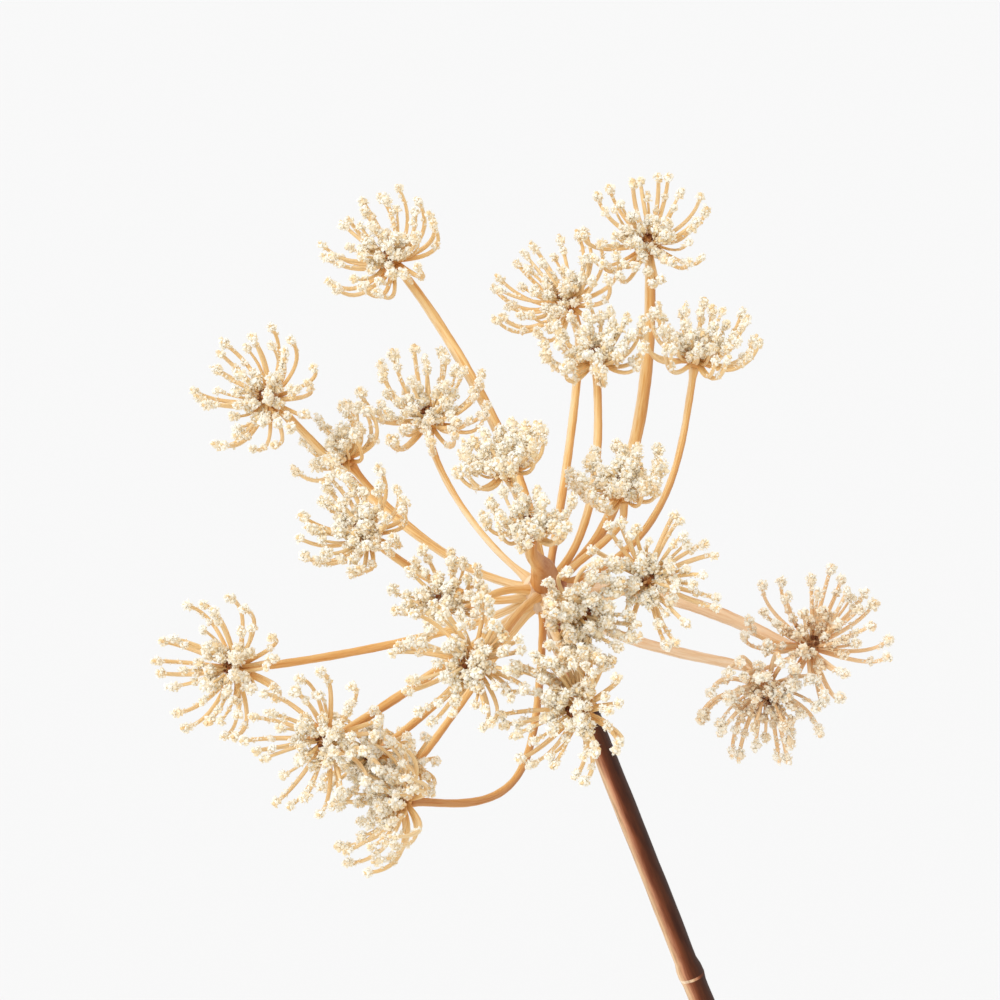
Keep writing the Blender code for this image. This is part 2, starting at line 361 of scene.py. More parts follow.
def stoneware_material():
    """Matt warm-white glaze with fine iron specks, bare clay at the foot."""
    n = Nodes(bpy.data.materials.new("stoneware"))
    place = n.add("ShaderNodeTexCoord").outputs["Object"]
    tone = n.attribute("tone").outputs["Fac"]
    cloud = n.ramp(
        n.noise(place, 22.0, 4.0, 0.55), (0.3, (214, 203, 184)), (0.65, (226, 217, 200))
    )
    speck = n.ramp(n.noise(place, 620.0, 1.0, 0.3), (0.25, (150, 118, 88)), (0.33, WHITE))
    fleck = n.ramp(n.noise(place, 240.0, 2.0, 0.4), (0.24, (120, 88, 62)), (0.29, WHITE))
    glaze = n.mix(n.mix(cloud, speck), fleck)
    clay = n.ramp(n.noise(place, 420.0, 5.0, 0.7), (0.3, (176, 148, 118)), (0.7, (204, 180, 150)))
    colour = n.mix(glaze, clay, tone)
    n.bump(n.noise(place, 900.0, 3.0), 0.25, 0.0002)
    return n.finish(colour, 0.5, 0.4)


FLORETS = floret_material(
    "dry_florets",
    (249, 247, 241), (251, 243, 227), (252, 231, 190), (232, 183, 126), (124, 70, 38),
)
STALKS = straw_material(
    "umbellet_stalks",
    (208, 146, 88), (238, 188, 120), (251, 219, 160), (252, 231, 192), (240, 216, 176),
)
# Painted shade: two umbellets on the right, away from the light, are a little more grey and pink
# than the rest.
SHADED_FLORETS = floret_material(
    "dry_florets_shaded",
    (248, 245, 238), (248, 240, 225), (243, 222, 190), (206, 166, 128), (116, 70, 44),
)
SHADED_STALKS = straw_material(
    "umbellet_stalks_shaded",
    (206, 150, 104), (236, 188, 138), (254, 220, 174), (254, 234, 204), (244, 220, 186),
)
RAYS = straw_material(
    "ray_straw",
    (192, 138, 92), (227, 172, 105), (249, 214, 152), (252, 239, 212), (230, 198, 152),
)
SHADED_RAYS = straw_material(
    "ray_straw_shaded",
    (206, 156, 120), (228, 184, 144), (246, 219, 188), (253, 240, 220), (234, 210, 182),
)
BARK = bark_material()
STONEWARE = stoneware_material()


# Meshes.

# How far the innermost florets go from cream to tan, painted shade among the crowded florets.
CROWD_SHADE = 0.28
# Painted shade: florets with this many others near their open side start to be warm, and with
# this many more they are as warm as they get.
CROWD_FROM, CROWD_SPAN = 45.0, 190.0
# The florets are counted in cubes of 1 mm, over this many cubes to each side, and round a
# point this far out on the open side. Past the outermost there are some empty cubes.
CROWD_REACH, CROWD_OUT, CROWD_EDGE = 2, 2.0, 5.0

# The corners of the CAD model's box, and how near to it florets begin to be held back.
BOX = np.array([list(corner) for corner in cad_box]) / MM
EASE = 0.8

# Where faces lie in their cell of the map: a strip's first edge and width, its first and last
# ring and the way between them, and the point at its end.
STRIP_LEFT, STRIP_WIDE = 0.06, 0.88
CELL_LOW, CELL_HIGH, CELL_RUN = 0.08, 0.92, 0.84
TIP_LOW, TIP_HIGH = 0.02, 0.98


def eased(points):
    """Brings florets at the very edge of the CAD model's box back inside it."""
    over = np.maximum(points - (BOX[1] - EASE), 0.0)
    under = np.maximum(BOX[0] + EASE - points, 0.0)
    points = points - over + EASE * (1.0 - np.exp(-over / EASE))
    return points + under - EASE * (1.0 - np.exp(-under / EASE))


class Build:
    """Points and faces gathered for one piece, and the map that its textures are baked
    through, which has one cell for each part of the piece."""

    def __init__(self, slender):
        """Slender is about how many times as high as wide a cell of the map is."""
        self.slender = slender
        # The way to the window light in the piece's own directions, for the painted light and
        # shade on florets.
        self.window = np.zeros(3)
        # For each point.
        self.points = []
        self.tone = []
        self.fibre = []
        self.count = 0
        # For each face: its corners, their places in its cell, and the cell.
        self.faces = []
        self.within = []
        self.owner = []
        # For each cell: where it comes among the others.
        self.order = []
        # The cell of each point, in a piece made of florets alone.
        self.member = []

    def put(self, points, tone, fibre=None):
        """Adds points, and returns the number of the first."""
        self.points.append(points)
        self.tone.append(np.broadcast_to(tone, (len(points),)))
        self.fibre.append(np.zeros((len(points), 3)) if fibre is None else fibre)
        self.count += len(points)
        return self.count - len(points)

    def join(self, faces, within, owner):
        """Adds faces, with each corner's place inside its cell and each face's cell."""
        self.faces.append(faces)
        self.within.append(np.broadcast_to(within, (*faces.shape, 2)))
        self.owner.append(np.broadcast_to(owner, (len(faces),)))

    def paint_crowd_shade(self, face):
        """Paints shade on florets deep among the others, warmer and tanner: the more of them lie
        near the open side of one, the more its tone goes up."""
        whose = np.concatenate(self.member)
        points = np.concatenate(self.points)
        cells = len(self.order)
        many = np.maximum(np.bincount(whose, minlength=cells), 1)
        middle = np.stack([np.bincount(whose, x, cells) / many for x in points.T], 1)
        low = middle.min(0) - CROWD_EDGE
        shape = np.ceil(middle.max(0) + CROWD_EDGE - low).astype(int)
        crowd = np.histogramdd(middle, bins=shape, range=list(zip(low, low + shape)))[0]
        steps = range(-CROWD_REACH, CROWD_REACH + 1)
        for axis in (0, 1, 2):
            crowd = sum(np.roll(crowd, step, axis) for step in steps)
        spot = np.floor(middle + face * CROWD_OUT - low).astype(int)
        share = clipped((crowd[tuple(spot.T)] - CROWD_FROM) / CROWD_SPAN)
        more = share * CROWD_SHADE
        self.order = list(clipped(np.array(self.order) + more))
        self.tone = [clipped(np.concatenate(self.tone) + more[whose])]

    def cells(self, order):
        """Asks for one cell a number, laid out in the order of these numbers, and returns the
        first."""
        self.order += list(order)
        return len(self.order) - len(order)

    def baked_map(self):
        """The place of each face's corners on the whole map."""
        many = len(self.order)
        columns = math.ceil(math.sqrt(many * self.slender))
        cell = np.empty(many, int)
        cell[np.argsort(self.order, kind="stable")] = np.arange(many)
        grid = np.array([columns, math.ceil(many / columns)], float)
        found = []
        for within, owner in zip(self.within, self.owner):
            at = cell[owner]
            corner = np.stack([at % columns, at // columns], 1)[:, None]
            found.append(((corner + within) / grid).reshape(-1, 2))
        return np.concatenate(found)

    def piece(self, name, surface, node, matrix=None, smooth=True):
        """Makes the object. A piece built in an umbellet's own directions has their matrix."""
        points = np.concatenate(self.points)
        if matrix is not None:
            points = eased(points @ matrix[:3, :3].T + matrix[:3, 3])
        mesh = bpy.data.meshes.new(name)
        loops = np.concatenate([f.ravel() for f in self.faces]).astype(np.int32)
        sizes = np.concatenate([np.full(len(f), f.shape[1]) for f in self.faces])
        starts = np.concatenate([[0], np.cumsum(sizes)[:-1]]).astype(np.int32)
        mesh.vertices.add(len(points))
        mesh.loops.add(len(loops))
        mesh.polygons.add(len(sizes))
        mesh.vertices.foreach_set("co", (points * MM).ravel())
        mesh.loops.foreach_set("vertex_index", loops)
        mesh.polygons.foreach_set("loop_start", starts)
        mesh.polygons.foreach_set("use_smooth", np.full(len(sizes), smooth))
        tone = mesh.attributes.new("tone", "FLOAT", "POINT")
        tone.data.foreach_set("value", np.concatenate(self.tone).astype(np.float32))
        fibre = mesh.attributes.new("fibre", "FLOAT_VECTOR", "POINT")
        fibre.data.foreach_set("vector", np.concatenate(self.fibre).astype(np.float32).ravel())
        mesh.update(calc_edges=True)
        layer = mesh.uv_layers.new(name="OFBake", do_init=False)
        layer.uv.foreach_set("vector", self.baked_map().astype(np.float32).ravel())
        mesh.materials.append(surface)
        made = bpy.data.objects.new(name, mesh)
        bpy.context.scene.collection.objects.link(made)
        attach(made, "root")
        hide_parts(node)


# A curve is first made this many times finer than asked for, and at least of this many points.
FINER, FINEST = 3, 60


def smooth_line(points, count):
    """A smooth curve through the points, cut evenly along its length, and that length."""
    points = np.asarray(points, float)
    gaps = np.linalg.norm(np.diff(points, axis=0), axis=1) ** 0.5
    at = np.concatenate([[0.0], np.cumsum(gaps)])
    slopes = np.zeros_like(points)
    slopes[1:-1] = (points[2:] - points[:-2]) / (at[2:] - at[:-2])[:, None]
    slopes[0] = (points[1] - points[0]) / gaps[0]
    slopes[-1] = (points[-1] - points[-2]) / gaps[-1]
    fine = np.linspace(0.0, at[-1], max(FINEST, count * FINER))
    k = np.clip(np.searchsorted(at, fine, side="right") - 1, 0, len(points) - 2)
    h = gaps[k][:, None]
    t = (fine - at[k])[:, None] / h
    a = 2 * t ** 3 - 3 * t ** 2 + 1
    b = t ** 3 - 2 * t ** 2 + t
    c = -2 * t ** 3 + 3 * t ** 2
    d = t ** 3 - t ** 2
    curve = a * points[k] + b * h * slopes[k] + c * points[k + 1] + d * h * slopes[k + 1]
    run = run_along(curve)
    want = np.linspace(0.0, run[-1], count)
    return np.stack([np.interp(want, run, curve[:, i]) for i in range(3)], 1), run[-1]


def frames(line):
    """Two directions across the line at each point, turning as little as they can."""
    along = units(np.gradient(line, axis=0))
    across = [across_of(along[0])]
    for way in along[1:]:
        across.append(unit(across[-1] - way * (across[-1] @ way)))
    across = np.array(across)
    return across, np.cross(along, across)


def rim(line, sides):
    """The way out of the line to each point of its rings."""
    across, beside = frames(line)
    turns = full_turn(sides)[None, :, None]
    return np.cos(turns) * across[:, None] + np.sin(turns) * beside[:, None]


def skin(build, first, rows, sides, folds=1):
    """The faces of a closed surface of rings, with a point at each end, and their places on
    the map: the rings lie across a strip, which is cut into a few shorter ones if it is long."""
    own = np.arange(rows * sides).reshape(rows, sides) + first
    nxt = np.roll(own, -1, axis=1)
    low, high = first + rows * sides, first + rows * sides + 1
    cuts = np.linspace(0, rows - 1, folds + 1).astype(int)
    cell = build.cells(np.full(folds, len(build.order), float))
    u = np.arange(sides) / sides * STRIP_WIDE + STRIP_LEFT
    step = STRIP_WIDE / sides
    for fold, (a, b) in enumerate(zip(cuts[:-1], cuts[1:])):
        quads = np.stack([own[a:b], nxt[a:b], nxt[a + 1 : b + 1], own[a + 1 : b + 1]], -1)
        v = CELL_LOW + CELL_RUN * np.arange(b - a + 1) / (b - a)
        across = np.stack([u, u + step, u + step, u], -1)[None]
        along = np.stack([v[:-1], v[:-1], v[1:], v[1:]], -1)[:, None]
        within = np.stack(np.broadcast_arrays(across, along), -1)
        build.join(quads.reshape(-1, 4), within.reshape(-1, 4, 2), cell + fold)
    for left, right, from_u, to_u, tip, v, top, fold in (
        (nxt[0], own[0], u + step, u, low, CELL_LOW, TIP_LOW, 0),
        (own[-1], nxt[-1], u, u + step, high, CELL_HIGH, TIP_HIGH, folds - 1),
    ):
        faces = np.stack([left, right, np.full(sides, tip)], -1)
        spots = [(from_u, v), (to_u, v), (u + step * 0.5, top)]
        within = np.stack([np.stack(np.broadcast_arrays(x, y), -1) for x, y in spots], 1)
        build.join(faces, within, cell + fold)


# How fast the fibre's place changes round a stalk and along it, and how far apart two stalks'
# places can be.
FIBRE_ROUND, FIBRE_ALONG, FIBRE_APART = 2.6, 0.10, 90.0


def tube(build, line, radii, sides, tone, chance, ribs=0, depth=0.0, shape=1.0, folds=1):
    """A closed tube. Its fibre runs along it, so that streaks follow the stalk. Its ribs go in
    and out by depth, as a share of the radius."""
    count = len(line)
    turns = full_turn(sides)
    grow = 1.0 + depth * np.cos(ribs * turns + chance.uniform(0.0, 6.0))
    wide = radii[:, None] * grow * shape
    points = line[:, None] + rim(line, sides) * wide[..., None]
    fibre = np.zeros((count, sides, 3)) + chance.uniform(0.0, FIBRE_APART, 3)
    fibre[..., 0] += np.cos(turns) * FIBRE_ROUND
    fibre[..., 1] += np.sin(turns) * FIBRE_ROUND
    fibre[..., 2] += run_along(line)[:, None] * FIBRE_ALONG
    tones = np.broadcast_to(tone if tone.ndim == 2 else tone[:, None], (count, sides))
    ends = np.array([line[0], line[-1]])
    end_tones = np.array([tones[0].mean(), tones[-1].mean()])
    end_fibre = np.array([fibre[0].mean(0), fibre[-1].mean(0)])
    first = build.put(
        np.concatenate([points.reshape(-1, 3), ends]),
        np.concatenate([tones.ravel(), end_tones]),
        np.concatenate([fibre.reshape(-1, 3), end_fibre]),
    )
    skin(build, first, count, sides, folds)


def ball_shape():
    """Twelve points and twenty triangles."""
    g = (1.0 + 5.0 ** 0.5) / 2.0
    points = []
    for a, b in itertools.product((-1.0, 1.0), (-g, g)):
        points += [(0.0, a, b), (a, b, 0.0), (b, 0.0, a)]
    points = np.array(points) / math.hypot(1.0, g)
    near = np.linalg.norm(points[:, None] - points[None], axis=2) < 1.1
    faces = []
    for i, j, k in itertools.combinations(range(len(points)), 3):
        if near[i, j] and near[j, k] and near[i, k]:
            turn = np.cross(points[j] - points[i], points[k] - points[i])
            faces.append((i, j, k) if turn @ points[i] > 0 else (i, k, j))
    return points, np.array(faces)


BALL = ball_shape()
# Six points and eight triangles.
STAR = (
    np.array([(1, 0, 0), (-1, 0, 0), (0, 1, 0), (0, -1, 0), (0, 0, 1), (0, 0, -1)], float),
    np.array(
        [(0, 2, 4), (2, 1, 4), (1, 3, 4), (3, 0, 4), (2, 0, 5), (1, 2, 5), (3, 1, 5), (0, 3, 5)]
    ),
)
# Every triangle of a crumb covers the same half of its cell.
CELL_CORNERS = np.array([(CELL_LOW, CELL_LOW), (CELL_HIGH, CELL_LOW), (CELL_LOW, CELL_HIGH)])


def turned(chance, count):
    """Random rotations."""
    w, x, y, z = units(chance.normal(size=(count, 4))).T
    rows = [
        (1 - 2 * (y * y + z * z), 2 * (x * y - z * w), 2 * (x * z + y * w)),
        (2 * (x * y + z * w), 1 - 2 * (x * x + z * z), 2 * (y * z - x * w)),
        (2 * (x * z - y * w), 2 * (y * z + x * w), 1 - 2 * (x * x + y * y)),
    ]
    return np.stack([np.stack(row, -1) for row in rows], 1)


def scatter(build, points, faces, tones):
    """Many small closed shapes alike, each of one tone, with one cell of the map for each."""
    count, size, _ = points.shape
    first = build.put(points.reshape(-1, 3), np.repeat(tones, size))
    every = faces[None] + (np.arange(count) * size)[:, None, None] + first
    cell = build.cells(tones) + np.arange(count)
    build.member.append(np.repeat(cell, size))
    owner = np.repeat(cell, len(faces))
    build.join(every.reshape(-1, 3), CELL_CORNERS, owner)


def crumbs(build, spots, sizes, tones, chance, shape, rough):
    """One irregular crumb at each spot."""
    base, faces = shape
    count = len(spots)
    reach = chance.uniform(1.0 - rough, 1.0 + rough, (count, len(base)))
    stretch = chance.uniform(0.75, 1.3, (count, 1, 3))
    body = base[None] * reach[..., None] * stretch
    body = np.einsum("nij,nkj->nki", turned(chance, count), body) * sizes[:, None, None]
    scatter(build, body + spots[:, None], faces, tones)


def on_sphere(chance, count):
    return units(chance.normal(size=(count, 3)))


# A spike's radius at its root, and the angles of its three corners there.
SPIKE_WIDE = 0.14
SPIKE_TURNS = (0.0, 2.1, 4.2)
SPIKE_FACES = np.array([(0, 1, 3), (1, 2, 3), (2, 0, 3), (0, 2, 1)])


def spikes(build, roots, ways, lengths, tones):
    """Thin pointed tips, the loose ends of dry petals."""
    across = units(np.cross(ways, ways[:, [1, 2, 0]] + 0.31))
    beside = np.cross(ways, across)
    corners = [
        roots + (across * math.cos(a) + beside * math.sin(a)) * SPIKE_WIDE for a in SPIKE_TURNS
    ]
    points = np.stack([*corners, roots + ways * lengths[:, None]], 1)
    scatter(build, points, SPIKE_FACES, tones)


# The crumbs of a clump: how many for each one asked for, their shape, how far out they lie as
# shares of its radius, and their sizes.
CLUMP_LAYERS = (
    (0.5, BALL, (0.58, 0.98), (0.34, 0.58)),
    (1.2, STAR, (0.7, 1.08), (0.3, 0.56)),
)
# How far tones go up at a clump's core and between its outermost crumbs, painted shade there, and
# down on the side that faced the window, painted light.
CORE_SHADE_TONE = 0.42
CREVICE_SHADE_TONE = 0.75
PAINTED_LIGHT_TONE = 0.26


def clump(build, middle, axis, radius, length, count, chance, tone=0.0, bud=0.0):
    """A rough little head of florets round a point, longer along its axis. It has painted light
    on the side towards the window, paler, and painted shade on the other side and deep inside,
    warmer. An unopened one is warm at its tip, by the tone in bud."""
    base, faces = BALL
    longer = length - radius
    core = base * chance.uniform(0.88, 1.08, (len(base), 1)) * radius * 0.74
    core = core + axis * (base @ axis)[:, None] * longer * 0.8
    # The core is tanner: painted shade between the crumbs.
    core_shade = clipped(tone + CORE_SHADE_TONE)
    scatter(build, (middle + core)[None], faces, np.array([core_shade]))
    for share, shape, far, size in CLUMP_LAYERS:
        number = int(count * share) + 2
        ways = on_sphere(chance, number)
        out = chance.uniform(*far, number)
        up = ways @ axis
        spots = ways * (out * radius)[:, None] + axis * (up * out * longer)[:, None]
        # Painted shade on the crumbs set deeper in, tanner; an unopened head is tan at its tip.
        tones = tone + (1.0 - out) * CREVICE_SHADE_TONE + bud * clipped(up)
        tones = tones + chance.uniform(-0.08, 0.14, number)
        # Painted light on the side towards the window, paler, and painted shade on the far side,
        # warmer.
        tones = tones + 0.06 - PAINTED_LIGHT_TONE * (ways @ build.window)
        sizes = chance.uniform(*size, number)
        crumbs(build, middle + spots, sizes, clipped(tones), chance, shape, 0.45)
    many = int(count * 1.6)
    ways = on_sphere(chance, many)
    spots = ways * radius * 0.75 + axis * (ways @ axis)[:, None] * longer * 0.9
    ways = units(ways + chance.normal(size=(many, 3)) * 0.3)
    lengths = radius * 0.25 + chance.uniform(0.3, 0.75, many)
    tones = clipped(tone + chance.uniform(-0.2, 0.2, many))
    spikes(build, middle + spots, ways, lengths, tones)


def sleeve(build, line, first, last, radius, count, chance, tone, lean=0.0):
    """Florets set along part of a stalk, more of them above it where they lean upward."""
    at = chance.uniform(first, last, count) * (len(line) - 1)
    k = np.minimum(at.astype(int), len(line) - 2)
    f = (at - k)[:, None]
    on = line[k] * (1.0 - f) + line[k + 1] * f
    ways = on_sphere(chance, count)
    if lean:
        ways = units(ways + upward(lean))
    spots = on + ways * (radius * chance.uniform(0.6, 1.0, count))[:, None]
    tones = clipped(tone + chance.uniform(-0.1, 0.3, count))
    sizes = chance.uniform(0.28, 0.5, count)
    crumbs(build, spots, sizes, tones, chance, STAR, 0.5)
    lengths = chance.uniform(0.4, 0.85, count)
    spikes(build, on + ways * radius * 0.6, ways, lengths, tones * 0.6)


# Rays, and the frame of each umbellet.


def read_ray(number):
    points, near = welded(f"ray_{number:02d}")
    root = list(np.argsort(np.linalg.norm(points - HUB, axis=1))[:RAY_SIDES])
    return centres(points, rings(near, root, RAY_RINGS, RAY_SIDES))


# Points along a ray's curve and round it.
RAY_STEPS, RAY_ROUND = 64, 16
# How deep a ray's curve starts inside the knob.
RAY_SUNK = 1.2
# The rays and umbellets on the right, away from the light, that get painted shade: a little more
# grey and pink than the rest.
SHADED_RIGHT = (18, 19)
# Rays that are brown at their root: how much, and over what length. The others are paler there.
DARK_ROOT = {
    3: (0.4, 22.0), 4: (0.24, 22.0), 6: (0.14, 18.0), 8: (0.16, 16.0),
    10: (0.16, 16.0), 13: (0.5, 26.0), 23: (0.3, 120.0),
}
PALE_ROOT = (-0.34, 18.0)
# Rays a little fuller halfway than their solids, in millimetres of radius.
FULLER = {1: 0.25, 3: 0.5, 6: 0.15, 8: 0.22, 18: 0.22}
# The ray that leaves the knob as a broad cone.
THICK_ROOT = 13


def make_ray(number, line, radii):
    chance = np.random.default_rng(SEED * 1000 + number)
    start = HUB + unit(line[0] - HUB) * (KNOB_RADIUS - RAY_SUNK)
    late = line[-2] * 0.5 + line[-1] * 0.5
    curve, length = smooth_line(np.concatenate([[start], line[:-2], [late, line[-1]]]), RAY_STEPS)
    at = np.linspace(0.0, 1.0, RAY_STEPS)
    reach = at * length
    wide = np.interp(at, np.linspace(0.0, 1.0, len(radii)), radii)
    # Fuller at both ends, a little uneven between them.
    wide = wide + 0.55 * np.exp(-((reach / 3.0) ** 2))
    wide = wide + 0.5 * np.exp(-(((length - reach) / 2.4) ** 2))
    slow = 0.03 * np.sin(reach * 0.55 + chance.uniform(0, 6))
    wide = wide * (1.0 + slow + 0.02 * np.sin(reach * 1.7))
    wide = wide + FULLER.get(number, 0.0) * np.sin(np.pi * at) ** 0.5
    if number == THICK_ROOT:
        wide = wide + 0.3 + 1.9 * np.exp(-((reach / 15.0) ** 2))
    tone = 0.48 + 0.08 * np.sin(at * 5.0 + chance.uniform(0, 6))
    dark, run = DARK_ROOT.get(number, PALE_ROOT)
    tone = tone - dark * np.exp(-((reach / run) ** 2))
    # Painted light on the left side, which faced the window, paler, and painted shade on the
    # other, browner.
    left = -rim(curve, RAY_ROUND)[..., 0]
    tone = clipped(tone[:, None] + np.where(left > 0, 0.4, 0.34) * left)
    build = Build(8.0)
    tube(build, curve, wide, RAY_ROUND, tone, chance, ribs=6, depth=0.035, folds=3)
    # Painted shade: the rays on the right take the shaded straw.
    look = SHADED_RAYS if number in SHADED_RIGHT else RAYS
    build.piece(f"ray_{number:02d}_stalk", look, f"ray_{number:02d}")


def umbellet_frame(line):
    """A matrix whose columns are the umbellet's own directions. The third is the way it faces."""
    face = unit(line[-1] - line[-2])
    side = -across_of(face)
    matrix = np.eye(4)
    matrix[:3, :3] = np.stack([side, np.cross(face, side), face], 1)
    matrix[:3, 3] = line[-1] + face * 0.3
    return matrix


# The core of a CAD umbellet lies within this radius, and between these heights.
CORE_RADIUS, CORE_LOW, CORE_HIGH = 2.6, -0.3, 4.6


def read_pedicels(number, matrix):
    """Root, elbow and tip of each CAD pedicel, in the umbellet's own directions."""
    points, near = welded(f"umbellet_{number:02d}")
    local = (points - matrix[:3, 3]) @ matrix[:3, :3]
    up = local[:, 2]
    inside = (np.hypot(*local[:, :2].T) < CORE_RADIUS) & (up > CORE_LOW) & (up < CORE_HIGH)
    core = set(np.nonzero(inside)[0])
    left = set(range(len(points))) - core
    found = []
    while left:
        group = set()
        edge = {min(left)}
        while edge:
            group |= edge
            edge = {n for k in edge for n in near[k] if n in left} - group
        left -= group
        first = {k for k in group if near[k] & core}
        roots = {n for k in first for n in near[k] & core}
        rows = levels(near, first, group)
        middle = [local[row].mean(0) for row in rows]
        found.append((local[sorted(roots)].mean(0), middle[0], middle[-1]))
    return found


def pedicel_path(root, bend, tip, dip, sway, count):
    """A stalk's curve: out from the core, round in one sweep and up to its clump."""
    out = unit(np.array([bend[0], bend[1], 0.0]))
    side = np.array([-out[1], out[0], 0.0])
    start = np.array([root[0] * 0.35, root[1] * 0.35, root[2]])
    pull = bend + (bend - (root + tip) * 0.5) * 0.42 + side * sway * 1.6 + upward(-dip)
    t = np.linspace(0.0, 1.0, 7)[:, None]
    sweep = root * (1 - t) ** 2 + pull * 2 * t * (1 - t) + tip * t ** 2
    return smooth_line([start, *sweep], count)[0]


# The way to the window light, which the florets' painted light and shade follow: paler on that
# side, warmer on the other.
WINDOW = unit(np.array([-0.62, -0.45, 0.64]))
# Umbellets with a smaller basket than this have fewer and thinner stalks.
SMALL_RING = 14.6
# Umbellets whose florets stand closest together, with how much larger their heads are.
FULL = {
    5: 1.25, 7: 1.1, 8: 1.35, 9: 1.15, 10: 1.5, 11: 1.45,
    12: 1.2, 13: 1.3, 16: 1.35, 18: 1.14, 19: 1.16,
}
# Umbellets with more stalks to one side, in front of the hub and the top of the stem: the
# first and last angle of that side, anticlockwise from the right in the front view, how many,
# and how low the lowest stand, as a share of the basket's height.
ONE_SIDE = {
    12: (-70.0, 60.0, 6, 0.75),
    14: (10.0, 80.0, 5, 0.75),
    15: (50.0, 150.0, 15, 0.75),
    16: (140.0, 290.0, 16, 0.2),
}
# Kinds of stalk: the points of its curve, its sides, its radius, how far it dips below a
# straight sweep, and how far it sways to one side.
KINDS = {
    "long": (14, 6, 0.56, 1.0, 1.0),
    "mid": (12, 6, 0.51, 0.6, 1.0),
    "thin": (10, 6, 0.40, 0.4, 1.0),
    "inner": (8, 6, 0.42, 0.1, 0.3),
    "bud": (5, 5, 0.36, 0.0, 0.3),
}
# An added stalk nearer in angle than this to one of the frame's is moved aside by ASIDE.
NEAR_STALK, ASIDE = 0.11, 0.13
# The angle from one middle head to the next, which spreads them evenly.
GOLDEN_TURN = 2.39996
# Crumbs in a clump for each millimetre of its radius.
CRUMBS = 11
# How far clear of the CAD umbellet's outline the clumps end.
CLEAR = 0.4


def added_stalk(chance, way, basket, far, top, foot, leave, bend_out, bend_up):
    """Root, bend and tip of a stalk that the solids lack. Its pairs are ranges to draw from:
    how far out and high its tip is, as shares of the basket's radius and height, how high it
    leaves the core, and where it bends, as shares of the way to its tip."""
    far = basket[0] * chance.uniform(*far)
    top = basket[1] * chance.uniform(*top)
    root = way * foot + upward(chance.uniform(*leave))
    bend = way * far * chance.uniform(*bend_out) + upward(top * chance.uniform(*bend_up))
    return root, bend, way * far + upward(top)


def plan_stalks(number, chance, cad, basket, small, matrix):
    """Every stalk of an umbellet, as its kind, root, bend and tip."""
    ring, rise = basket
    plan = []
    for root, bend, tip in cad:
        far = math.hypot(tip[0], tip[1])
        tip = tip * (1.0 - CLEAR / max(far, 4.0))
        kind = "long" if far > 0.88 * ring else "inner" if far < 0.5 * ring else "mid"
        plan.append((kind, root, bend, tip))
    # More long ones round the edge, each between two that the frame has.
    turns = sorted(math.atan2(tip[1], tip[0]) for kind, _, _, tip in plan if kind != "inner")
    many = 6 if small else 8
    for k in range(many):
        a = 2.0 * math.pi * (k + 0.5 + chance.uniform(-0.3, 0.3)) / many
        gaps = [(a - turn + math.pi) % (2.0 * math.pi) - math.pi for turn in turns]
        gap = min(gaps, key=abs)
        if abs(gap) < NEAR_STALK:
            a += ASIDE if gap >= 0 else -ASIDE
        ranges = (0.86, 0.99), (0.78, 1.0), 1.7, (0.6, 1.6), (0.74, 0.84), (0.02, 0.2)
        plan.append(("long", *added_stalk(chance, flat_way(a), basket, *ranges)))
    # Thin ones in a ring inside them.
    many = 7 if small else 10
    for k in range(many):
        a = 2.0 * math.pi * (k + chance.uniform(-0.35, 0.35)) / many + 0.3
        ranges = (0.52, 0.78), (0.7, 0.95), 1.6, (1.6, 2.8), (0.6, 0.78), (0.16, 0.42)
        plan.append(("thin", *added_stalk(chance, flat_way(a), basket, *ranges)))
    # More to one side, where that umbellet is denser.
    first, last, many, low = ONE_SIDE.get(number, (0.0, 0.0, 0, 1.0))
    for k in range(many):
        a = math.radians(first + (last - first) * (k + chance.uniform(0.2, 0.8)) / many)
        way = matrix[:3, :3].T @ (math.cos(a) * VIEW_RIGHT + math.sin(a) * VIEW_UP)
        way = unit(np.array([way[0], way[1], 0.0]))
        ranges = (0.66, 1.0), (low, 1.02), 1.7, (1.0, 2.4), (0.68, 0.82), (0.1, 0.36)
        plan.append(("mid", *added_stalk(chance, way, basket, *ranges)))
    # The heads in the middle, higher near the axis.
    full = FULL.get(number, 1.0)
    many = (16 if small else 19) + (4 if full > 1.4 else 0)
    spread = (0.50 if small else 0.46) * (1.0 + 0.5 * (full - 1.0)) * ring
    for k in range(many):
        a = k * GOLDEN_TURN + chance.uniform(-0.3, 0.3)
        far = spread * math.sqrt((k + 2.4) / (many + 1.8))
        way = flat_way(a)
        top = rise * chance.uniform(0.46, 0.82) - far * 0.14
        bend = way * far * 0.6 + upward(3.0 + (top - 3.0) * 0.45)
        plan.append(("bud", way + upward(3.0), bend, way * far + upward(top)))
    return plan


